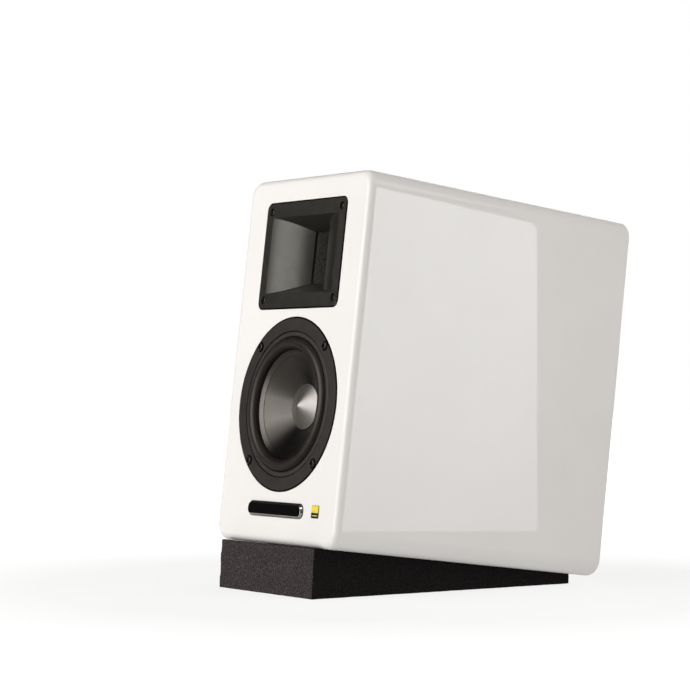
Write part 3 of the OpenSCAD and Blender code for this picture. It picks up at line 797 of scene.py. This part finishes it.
def make_front_screws():
    large = dict(top=1.5, head_r=2.75, head_h=1.9, shaft_r=1.8,
                 length=16.9, flats=1.4, recess=1.2, easing=0.7)
    small = dict(top=0.3, head_r=2.0, head_h=1.7, shaft_r=1.4,
                 length=14.1, flats=1.0, recess=1.1, easing=0.6)
    for name, box, reach, place, shape in (("woofer", woofer_screws, WOOFER_REACH, WOOFER, large),
                                           ("horn", horn_screws, HORN_REACH, TWEETER, small)):
        made = [screw(at, **shape) for at in four_spots(box, reach)]
        fit(join(name + "_socket_screws", made), place, "cabinet", "black_screws", name + "_screws")


def make_throat_mesh():
    """Black wire mesh across the throat: two layers of slanting wires, held in a thin rim."""
    half_w, half_h, run, rise = 10.9, 19.9, 1.0, 1.45
    wires = []
    for way, wire, depth in ((-1, 0.26, -17.4), (1, 0.2, -17.85)):
        count = int((half_w + half_h * run / rise) / (2 * run))
        for k in range(-count, count + 1):
            start = k * 2 * run
            reach = [(side * half_w - start) * rise / run * way for side in (-1, 1)]
            low, high = max(-half_h, min(reach)), min(half_h, max(reach))
            if high - low < 1.5:
                continue
            ends = [(start + way * y * run / rise, y, depth) for y in (low, (low + high) / 2, high)]
            wires.append(skin("wire", tube(ends, wire)))
    rim = skin("rim", [rectangle(21.8, 39.8, 0.8, -17.15), rectangle(19.6, 37.6, 0.6, -17.15),
                       rectangle(19.6, 37.6, 0.6, -17.8), rectangle(21.8, 39.8, 0.8, -17.8)], ring=True)
    fit(join("throat_wire_mesh", [*wires, rim]), TWEETER, "cabinet", "mesh", "throat_mesh")


# ---------- woofer ----------

def sector(r0, r1, near, far, start, sweep):
    """A block bent round the axis, to cut a window in the basket."""
    loops = []
    for k in range(13):
        a = math.radians(start + sweep * k / 12)
        loops.append([(r * math.cos(a), r * math.sin(a), -d)
                      for r, d in ((r0, near), (r1, near), (r1, far), (r0, far))])
    return skin("cutter", loops)


def make_basket():
    """The cast frame: front ring, tapering arms between six windows, and the seat for the motor."""
    r = WOOFER_R
    piece = turned("woofer_cast_frame", [
        (50.7, -0.4, 0.15), (r, -0.4, 0.5), (r, 4, 0.2), (49.6, 4, 0.5), (49.4, 9, 2), (34, 36, 2),
        (34, 39, 0.3), (20, 39, 0.3), (20, 36.5, 0.3), (30.4, 35, 1), (35.4, 28, 0.5), (31, 28, 0.2),
        (31, 26.6, 0.2), (36.4, 26.6, 0.5), (46.5, 9, 2), (46.5, 1.6, 0.2), (50.7, 1.6, 0.2)])
    windows = [sector(38.2, 58.2, 10, 24.5, 60 * k + 9, 42) for k in range(6)]
    x = woofer_screws.size[0] / 2 - WOOFER_REACH
    spots = [(i * x, j * x) for i in (-1, 1) for j in (-1, 1)]
    holes = [round_pocket(3.55, 0.4, 0.25, at, through=2.1, deep=6.0, face=0.4) for at in spots]
    cut(piece, *windows, *holes)
    true_normals(piece)
    fit(piece, WOOFER, "cabinet", "cast_frame", "woofer_basket")
    # Painted shade: the screw counterbores and the ring's outer edge are painted black for the shade in the
    # recesses and in the gap round the frame.
    paint_shade(piece, lambda x, y, z: z < 0.1 and spot_distance(spots, x, y) < 3.6)
    paint_shade(piece, lambda x, y, z: math.hypot(x, y) > r - 0.5)


def make_trim_ring():
    piece = turned("woofer_trim", [
        (46.9, 0.9, 0), (46.9, 0.1, 0.1), (47.4, -0.3, 0.3), (49.8, -0.3, 0.35), (50.2, 0.1, 0.1),
        (50.2, 0.9, 0)])
    fit(piece, WOOFER, "cabinet", "trim", "woofer_trim_ring")


ROLL_MID, ROLL_R, ROLL_DEPTH, ROLL_THICK = 42.45, 4.25, 1.4, 0.75


def stretch_ring(piece, slot, node, inner, outer):
    """Puts a ring in the woofer's frame in its slot's finish, hides its CAD node and bakes its place into its
    points; it works out a share from inner to outer but does not use it.
    """
    piece.matrix_world = WOOFER
    piece.data.materials.append(SLOT_FINISH[slot])
    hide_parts(node)
    bpy.context.view_layer.update()
    radii = np.array([v.co.xy.length for v in piece.data.vertices]) / MM
    share = np.clip((outer - radii) / (outer - inner), 0, 1)
    share = share * share * (3 - 2 * share)
    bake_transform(piece)


def make_surround():
    """Rubber half roll, glued under the trim ring at its outer foot and under the cone's rim."""
    arc = [math.pi * (1 - k / 24) for k in range(25)]
    over = [(ROLL_MID + ROLL_R * math.cos(a), ROLL_DEPTH - ROLL_R * math.sin(a)) for a in arc]
    inner_r = ROLL_R - ROLL_THICK
    below = [(ROLL_MID + inner_r * math.cos(a), ROLL_DEPTH - inner_r * math.sin(a)) for a in reversed(arc)]
    under_rim = [(35.0, 4.0), (38.2, 3.2)]
    foot = [(50, 0.95), (50, 1.55), (46, 1.55)]
    back = [(38.95, 3.5), (38.5, 3.85), (35.0, 4.65)]
    outline = under_rim + over + foot + below + back
    piece = skin("woofer_half_roll", [circle(r, -d) for r, d in outline], ring=True, crease=50)
    stretch_ring(piece, "rubber", "woofer_surround", 38.3, 46.6)


def make_spider():
    """Corrugated cloth disc that centres the coil."""
    rings = 108
    front_side, back_side = [], []
    for k in range(rings + 1):
        r = 13 + 19.8 * k / rings
        wave = 24.7 - 0.5 * math.cos(math.pi * (r - 13) / 2.2)
        front_side.append((r, wave + (0.25 if k else 0.1)))
        back_side.append((r, wave + 0.65))
    rim = [(34.6, 26.05), (34.6, 26.5)]
    outline = front_side + rim + back_side[::-1]
    piece = skin("woofer_spider_cloth", [circle(r, -d, count=144) for r, d in outline], ring=True, crease=60)
    stretch_ring(piece, "spider_cloth", "woofer_spider", 14.0, 32.5)


def make_cone_parts():
    cone = turned("woofer_metal_cone", [
        (12.95, 17.85, 0.1), (33.9, 3.67, 0.25), (34, 3.3, 0.1), (37.9, 2.1, 0.25), (38.15, 2.5, 0.1),
        (38.15, 3.1, 0.1), (34.2, 4.1, 1), (12.95, 18.5, 0.1)], steps=6)
    fit(cone, WOOFER, "cone", "cone_metal", "woofer_cone")
    cap = turned("woofer_dust_cap_spun", [
        (0, 8.5, 0), (0.9, 8.62, 0.8), (15.85, 15.05, 0.25), (16, 15.5, 0.1), (15.9, 15.84, 0.05),
        (15.3, 16.2, 0.1), (15.2, 15.6, 0.1), (0.5, 9.3, 0.4), (0, 9.2, 0)], ring=False, steps=6)
    fit(cap, WOOFER, "cone", "cap_metal", "woofer_dust_cap")


def make_coil():
    """The coil's winding: turns of round wire lie side by side on the tube."""
    turns, top, bottom = 40, 36.0, 48.0
    pitch = (bottom - top) / turns
    outline = [(12.92, top), (12.92, bottom)]
    for k in range(turns * 4 + 1):
        depth = bottom - pitch * k / 4
        bulge = 0.12 * abs(math.sin(math.pi * k / 4))
        outline.append((13.4 + bulge, depth))
    piece = skin("voice_coil_turns", [circle(r, -d, count=96) for r, d in outline], ring=True, crease=60)
    fit(piece, WOOFER, "cone", "copper", "voice_coil_winding")


# ---------- window and badge ----------

WINDOW_CORNER = 4.2
CHAMFER = (1.3, 1.1)  # across and down


def make_window_piece():
    """The glossy black window with a flat chamfer polished like a mirror."""
    w, h = lens.size[0], lens.size[2]
    top, bottom = -lens.low[1], -lens.high[1]
    profile = eased([(0, bottom, 0), (0, top - CHAMFER[1], 0.15), (CHAMFER[0], top, 0.15), (4, top, 0)],
                    closed=False, steps=3)[:-1]
    loops = [rectangle(w - 2 * inset, h - 2 * inset, WINDOW_CORNER - inset, height, steps=16)
             for inset, height in profile]
    piece = true_normals(skin("display_window", loops))
    fit(piece, front(0, lens.mid[2]), "cabinet", "window", "display_lens")
    piece.data.materials.append(MIRROR)
    for face in piece.data.polygons:
        if 0.5 < face.normal.z < 0.95:
            face.material_index = 1


def raised(w, h, radius, base, top, at=(0, 0), soft=0.12):
    """A low plate with eased front edges."""
    loops = [rectangle(w, h, radius, base, at)]
    for a in quarter_turn(4):
        inset = soft * (1 - math.cos(a))
        loops.append(rectangle(w - 2 * inset, h - 2 * inset, radius - inset,
                               top - soft + soft * math.sin(a), at))
    return skin("plate", loops)


def make_badge():
    """A plain two-tone badge: a yellow enamel field over a black band with one gold line."""
    w, h = badge.size[0] - 0.6, badge.size[2] - 0.4
    place = front(badge.mid[0], badge.mid[2])
    base = raised(w, h, 0.6, 0, 0.42)
    base.name = "badge_base"
    fit(true_normals(base), place, "cabinet", "badge", "badge_plate", finish=BADGE_BLACK)
    field = raised(w - 0.3, h * 0.56, 0.45, 0.3, 0.6, (0, h * 0.2))
    line = raised(w - 2.0, h * 0.07, 0.2, 0.3, 0.56, (0, -h * 0.3))
    fit(true_normals(join("badge_enamel", [field, line])), place, "cabinet", "badge")


# ---------- back ----------

KNOB_SEGMENTS = 240
KNOB_BACK = 233.0  # depth of the knobs' undersides, just behind the back plate


def scalloped(radius, bite, count, height):
    """A loop with finger grooves round it."""
    def reach(a):
        return radius - bite * max(0.0, math.cos(count * a)) ** 4

    return loop_of(reach, height, (0, 0), KNOB_SEGMENTS)


def make_knob(name, box, body, node, grooves, bite, shaft=None):
    """A grooved knob with an eased rim, a dished face and a raised pointer."""
    r = min(box.size[0], box.size[2]) / 2
    place = rear(box.mid[0], box.mid[2], 0)
    low, high = KNOB_BACK, box.high[1]
    loops = []
    if shaft:
        loops += [circle(shaft, box.low[1], count=KNOB_SEGMENTS), circle(shaft, low, count=KNOB_SEGMENTS)]
    else:
        loops += [circle(6.4, low + 2, count=KNOB_SEGMENTS), circle(6.6, low, count=KNOB_SEGMENTS)]
    for a in quarter_turn(3):
        loops.append(circle(r - 0.5 + 0.5 * math.sin(a), low + 0.5 - 0.5 * math.cos(a), count=KNOB_SEGMENTS))
    loops.append(scalloped(r, 0, grooves, low + 1.6))
    loops.append(scalloped(r, bite, grooves, low + 2.2))
    loops.append(scalloped(r - 0.15, bite, grooves, high - 1.0))
    for k in range(1, 6):
        a = math.pi / 2 * k / 5
        loops.append(scalloped(r - 0.15 - 0.9 * (1 - math.cos(a)), bite * (1 - k / 5), grooves,
                               high - 1.0 + 0.9 * math.sin(a)))
    loops.append(circle(r - 2.2, high - 0.2, count=KNOB_SEGMENTS))
    loops.append(circle(r - 3.0, high - 0.5, count=KNOB_SEGMENTS))
    loops.append(circle(0, high - 0.6))
    fit(true_normals(skin(name, loops)), place, body, "charcoal_plastic", node)
    mark = raised(0.9, 2.6, 0.4, high - 0.6, high - 0.02, (0, r - 2.6), 0.1)
    mark.name = name + "_pointer"
    fit(mark, place, body, "charcoal_plastic", finish=MARKS)


def make_scale_marks():
    """Printed ticks round the tone knobs and a dotted ring round the volume knob."""
    plate = Box("amp_panel")
    marks = []
    for node, reach, count, spread in (("bass_knob", 9.0, 11, 300), ("treble_knob", 9.0, 11, 300),
                                       ("volume_knob", 12.0, 24, 345)):
        knob = Box(node)
        for k in range(count):
            a = math.radians(90 + spread / 2 - spread * k / (count - 1))
            long = 1.8 if node != "volume_knob" and k in (0, count // 2, count - 1) else 1.0
            x0, x1 = reach, reach + long
            line = raised(x1 - x0, 0.45, 0.2, 0, 0.06, ((x0 + x1) / 2, 0), 0.03)
            turn = Matrix.Rotation(a, 4, "Z")
            shift = Vector((-knob.mid[0] * MM, (knob.mid[2] - plate.mid[2]) * MM, 0))
            for v in line.data.vertices:
                v.co = turn @ v.co + shift
            marks.append(line)
    place = rear(0, plate.mid[2], plate.high[1])
    fit(join("control_ticks", marks), place, "cabinet", "back_plate", finish=MARKS)


def make_back_plate():
    """The back plate as pressed: eased outer edge and a clean hole for each control and socket."""
    plate = Box("amp_panel")
    w, h = plate.size[0], plate.size[2]
    face, thick = plate.high[1], 2.0
    x0, z0 = plate.mid[0], plate.mid[2]
    body = raised(w, h, 3.0, -thick, 0, soft=0.6)
    body.name = "amp_back_plate"

    def at(box):
        return (-(box.mid[0] - x0), box.mid[2] - z0)

    def through(loop):
        return skin("cutter", [[(x, y, 3) for x, y, _ in loop], [(x, y, -5) for x, y, _ in loop]])

    tools = [through(circle(4.1, 0, at(Box("volume_knob")), 64))]
    tools += [through(circle(3.3, 0, at(Box(n)), 64)) for n in ("bass_knob", "treble_knob")]
    shells = Box("rca_shells")
    for side in (-1, 1):
        spot = (-(shells.mid[0] + side * (shells.size[0] / 2 - 6) - x0), shells.mid[2] - z0)
        tools.append(through(circle(5, 0, spot, 64)))
    link = Box("link_socket")
    tools.append(through(circle(8.1, 0, at(link), 64)))
    for node, hole_w, hole_h in (("optical_socket", 12, 12), ("usb_socket", 13.2, 12.2),
                                 ("mains_inlet", 27.8, 20.8), ("switch_frame", 15.4, 21.8)):
        box = Box(node)
        tools.append(through(rectangle(hole_w, hole_h, 0.4, 0, at(box))))
    cut(body, *tools)
    true_normals(body)
    fit(body, rear(x0, z0, face), "cabinet", "back_plate", "amp_panel")


def make_back_screws():
    box = Box("amp_panel_screws")
    mid_x, mid_z = box.mid[0], box.mid[2]
    heights = [22, 72, 118, 166]
    reach = box.size[0] / 2 - 2.9
    made = [screw((i * reach, z - mid_z), 1.4, 2.9, head_h=1.4, shaft_r=1.2, length=12.4, flats=1.25,
                  recess=0.9) for i in (-1, 1) for z in heights]
    fit(join("back_plate_screws", made), rear(mid_x, mid_z, 231), "cabinet", "black_screws",
        "amp_panel_screws")


def make_port():
    """The bass port: a tube that flares out into its flange."""
    tube_box = Box("port_tube")
    flange = tube_box.size[0] / 2
    near, face = tube_box.low[1], tube_box.high[1]
    bore, flare = 17.0, 9.0
    quarter = quarter_turn(10)
    outline = [(flange, face - 12.5), (flange, face - 0.5)]
    outline += [(flange - 0.5 + 0.5 * math.cos(a), face - 0.5 + 0.5 * math.sin(a)) for a in quarter[1:]]
    outline += [(bore + flare - flare * math.sin(a), face - flare + flare * math.cos(a)) for a in quarter]
    outline += [(bore, near + 1), (bore + 0.8, near), (19, near), (19, face - 12.5)]
    piece = skin("bass_port", [circle(r, d) for r, d in outline], ring=True)
    fit(piece, rear(tube_box.mid[0], tube_box.mid[2], 0), "cabinet", "black_plastic", "port_tube")


make_cabinet()
make_foam_wedge()
make_horn()
make_front_screws()
make_throat_mesh()
make_basket()
make_trim_ring()
make_surround()
make_spider()
make_cone_parts()
make_coil()
make_window_piece()
make_badge()
make_back_plate()
make_scale_marks()
make_back_screws()
make_port()
make_knob("volume_knob_grip", Box("volume_knob"), "volume", "volume_knob", 24, 0.35)
make_knob("bass_knob_grip", Box("bass_knob"), "bass", "bass_knob", 18, 0.3, shaft=2.0)
make_knob("treble_knob_grip", Box("treble_knob"), "treble", "treble_knob", 18, 0.3, shaft=2.0)


# ---------- stage, light and camera ----------

FLOOR_HALF = 6.0  # metres
WARM_WHITE = (1, 0.98, 0.965)
CARD_AZIMUTH, CARD_DISTANCE = 124.5, 0.65
CARD_LEFT, CARD_RIGHT, CARD_TOP = -0.16, 0.057, 0.338
CARD_DROP = 0.05  # how much lower the card's top is at its far end
CARD_CORNER = 0.01
CARD_LOW_EDGE = 0.004
CARD_LOW, CARD_HIGH = 3.6, 7.0  # its glow at its foot and at its top
WORLD_DIM, WORLD_BRIGHT = 0.025, 0.42  # away from its brightest side, and on it
FLOOR_GLOW = 1.3  # strength of the floor's own white
FLOOR_BOUNCE = 0.42  # share of that white that lights the object's matt surfaces
FLOOR_NEAR = 0.62  # share of it in the floor beside the object, as the camera sees it


def away(azimuth, elevation):
    """The direction from the object at this azimuth, from the front towards its right, and elevation."""
    a, e = math.radians(azimuth), math.radians(elevation)
    return Vector((math.sin(a) * math.cos(e), -math.cos(a) * math.cos(e), math.sin(e)))


def make_floor():
    """A pale floor that fades to white away from the object and throws some light up at it."""
    mesh = bpy.data.meshes.new("floor")
    mesh.from_pydata([(x * FLOOR_HALF, y * FLOOR_HALF, 0) for x, y in ((-1, -1), (1, -1), (1, 1), (-1, 1))],
                     [], [(0, 1, 2, 3)])
    floor = placed("floor", mesh)
    finish = Finish("pale_floor", Roughness=0.9, Specular_IOR_Level=0.2)
    finish.colour(finish.grain(40.0, 3.0), "acaba9", "b2b1af")
    finish.relief(finish.grain(3.0, 2.0), 0.02)
    fade = finish.scaled(finish.radius_from_axis(), FLOOR_NEAR, 1, 0.25, 0.8)
    rays = finish.node("ShaderNodeLightPath").outputs
    shown = finish.sum("MULTIPLY", fade, rays["Is Camera Ray"])
    share = finish.sum("MULTIPLY_ADD", rays["Is Diffuse Ray"], FLOOR_BOUNCE, shown)
    white = finish.node("ShaderNodeEmission")
    white.inputs["Strength"].default_value = FLOOR_GLOW
    mix = finish.node("ShaderNodeMixShader")
    finish.link(share, mix.inputs["Fac"])
    finish.link(finish.shader.outputs["BSDF"], mix.inputs[1])
    finish.link(white.outputs["Emission"], mix.inputs[2])
    finish.link(mix.outputs["Shader"], finish.tree.nodes["Material Output"].inputs["Surface"])
    floor.data.materials.append(finish.material)


def make_world():
    """White where the camera sees it. Otherwise dim, brightest at the object's right rear."""
    world = bpy.data.worlds.new("studio")
    bpy.context.scene.world = world
    world.use_nodes = True
    tree = world.node_tree
    link = tree.links.new
    way = tree.nodes.new("ShaderNodeTexCoord")
    toward = tree.nodes.new("ShaderNodeVectorMath")
    toward.operation = "DOT_PRODUCT"
    toward.inputs[1].default_value = away(125, 15)
    link(way.outputs["Generated"], toward.inputs[0])
    strength = tree.nodes.new("ShaderNodeMapRange")
    strength.interpolation_type = "SMOOTHSTEP"
    strength.inputs["From Min"].default_value = -0.5
    strength.inputs["To Min"].default_value = WORLD_DIM
    strength.inputs["To Max"].default_value = WORLD_BRIGHT
    link(toward.outputs["Value"], strength.inputs["Value"])
    dim = tree.nodes["Background"]
    dim.inputs["Color"].default_value = (*WARM_WHITE, 1)
    link(strength.outputs["Result"], dim.inputs["Strength"])
    bright = tree.nodes.new("ShaderNodeBackground")
    bright.inputs["Color"].default_value = (1, 1, 1, 1)
    seen = tree.nodes.new("ShaderNodeLightPath")
    mix = tree.nodes.new("ShaderNodeMixShader")
    link(seen.outputs["Is Camera Ray"], mix.inputs["Fac"])
    link(dim.outputs["Background"], mix.inputs[1])
    link(bright.outputs["Background"], mix.inputs[2])
    link(mix.outputs["Shader"], tree.nodes["World Output"].inputs["Surface"])


def softbox(name, azimuth, elevation, distance, width, height, power, matt=True, gloss=True):
    """An area light at this azimuth and elevation, in metres and watts; it can light only matt or gloss."""
    light = bpy.data.lights.new(name, "AREA")
    light.shape = "RECTANGLE"
    light.size, light.size_y = width, height
    light.energy = power
    light.color = WARM_WHITE
    lamp = placed(name, light)
    out = away(azimuth, elevation)
    lamp.location = Vector((0, 0, 0.14)) + out * distance
    lamp.rotation_euler = out.to_track_quat("Z", "Y").to_euler()
    lamp.visible_camera = False
    lamp.visible_diffuse = matt
    lamp.visible_glossy = gloss


def make_card():
    """A glowing card behind the object's right, seen only as the soft reflection in its glossy side."""
    outline = eased([(CARD_LEFT, CARD_TOP, 0), (CARD_RIGHT, CARD_TOP - CARD_DROP, CARD_CORNER),
                     (CARD_RIGHT, CARD_LOW_EDGE, 0), (CARD_LEFT, CARD_LOW_EDGE, 0)])
    out = away(CARD_AZIMUTH, 0)
    right = Vector((-out.y, out.x, 0))
    mesh = bpy.data.meshes.new("reflector_card")
    mesh.from_pydata([out * CARD_DISTANCE + right * u + Vector((0, 0, v)) for u, v in outline],
                     [], [tuple(range(len(outline)))])
    card = placed("reflector_card", mesh)
    glow = Finish("card_glow")
    height = glow.split(glow.coordinates, "Z")
    lit = glow.node("ShaderNodeEmission")
    glow.link(glow.scaled(height, CARD_LOW, CARD_HIGH, 0, CARD_TOP), lit.inputs["Strength"])
    glow.link(lit.outputs["Emission"], glow.tree.nodes["Material Output"].inputs["Surface"])
    mesh.materials.append(glow.material)
    card.visible_camera = False
    card.visible_diffuse = False
    card.visible_shadow = False


def make_camera():
    """The viewpoint fitted to the cabinet's edges: right of the front, at the tweeter's height."""
    data = bpy.data.cameras.new("camera")
    data.lens = 127.27
    data.sensor_width = 36
    data.clip_start, data.clip_end = 0.05, 50
    camera = placed("camera", data)
    azimuth, elevation = math.radians(55.482), math.radians(-0.694)
    camera.location = (1.4006, -1.0066, 0.14885)
    camera.rotation_euler = (math.pi / 2 - elevation, 0, azimuth)
    bpy.context.scene.camera = camera


make_floor()
make_world()
make_card()
softbox("key", -22, 18, 1.7, 1.6, 1.3, 26.5, gloss=False)
softbox("key_sheen", -8, 18, 1.7, 1.6, 1.3, 27, matt=False)
softbox("overhead", 60, 80, 1.8, 2.0, 2.0, 4)
softbox("fill", 118, 38, 1.9, 1.2, 1.0, 8)
softbox("back_fill", -150, 15, 1.9, 1.2, 1.0, 8)
make_camera()
view = bpy.context.scene.view_settings
view.view_transform = "Standard"
view.look = "None"
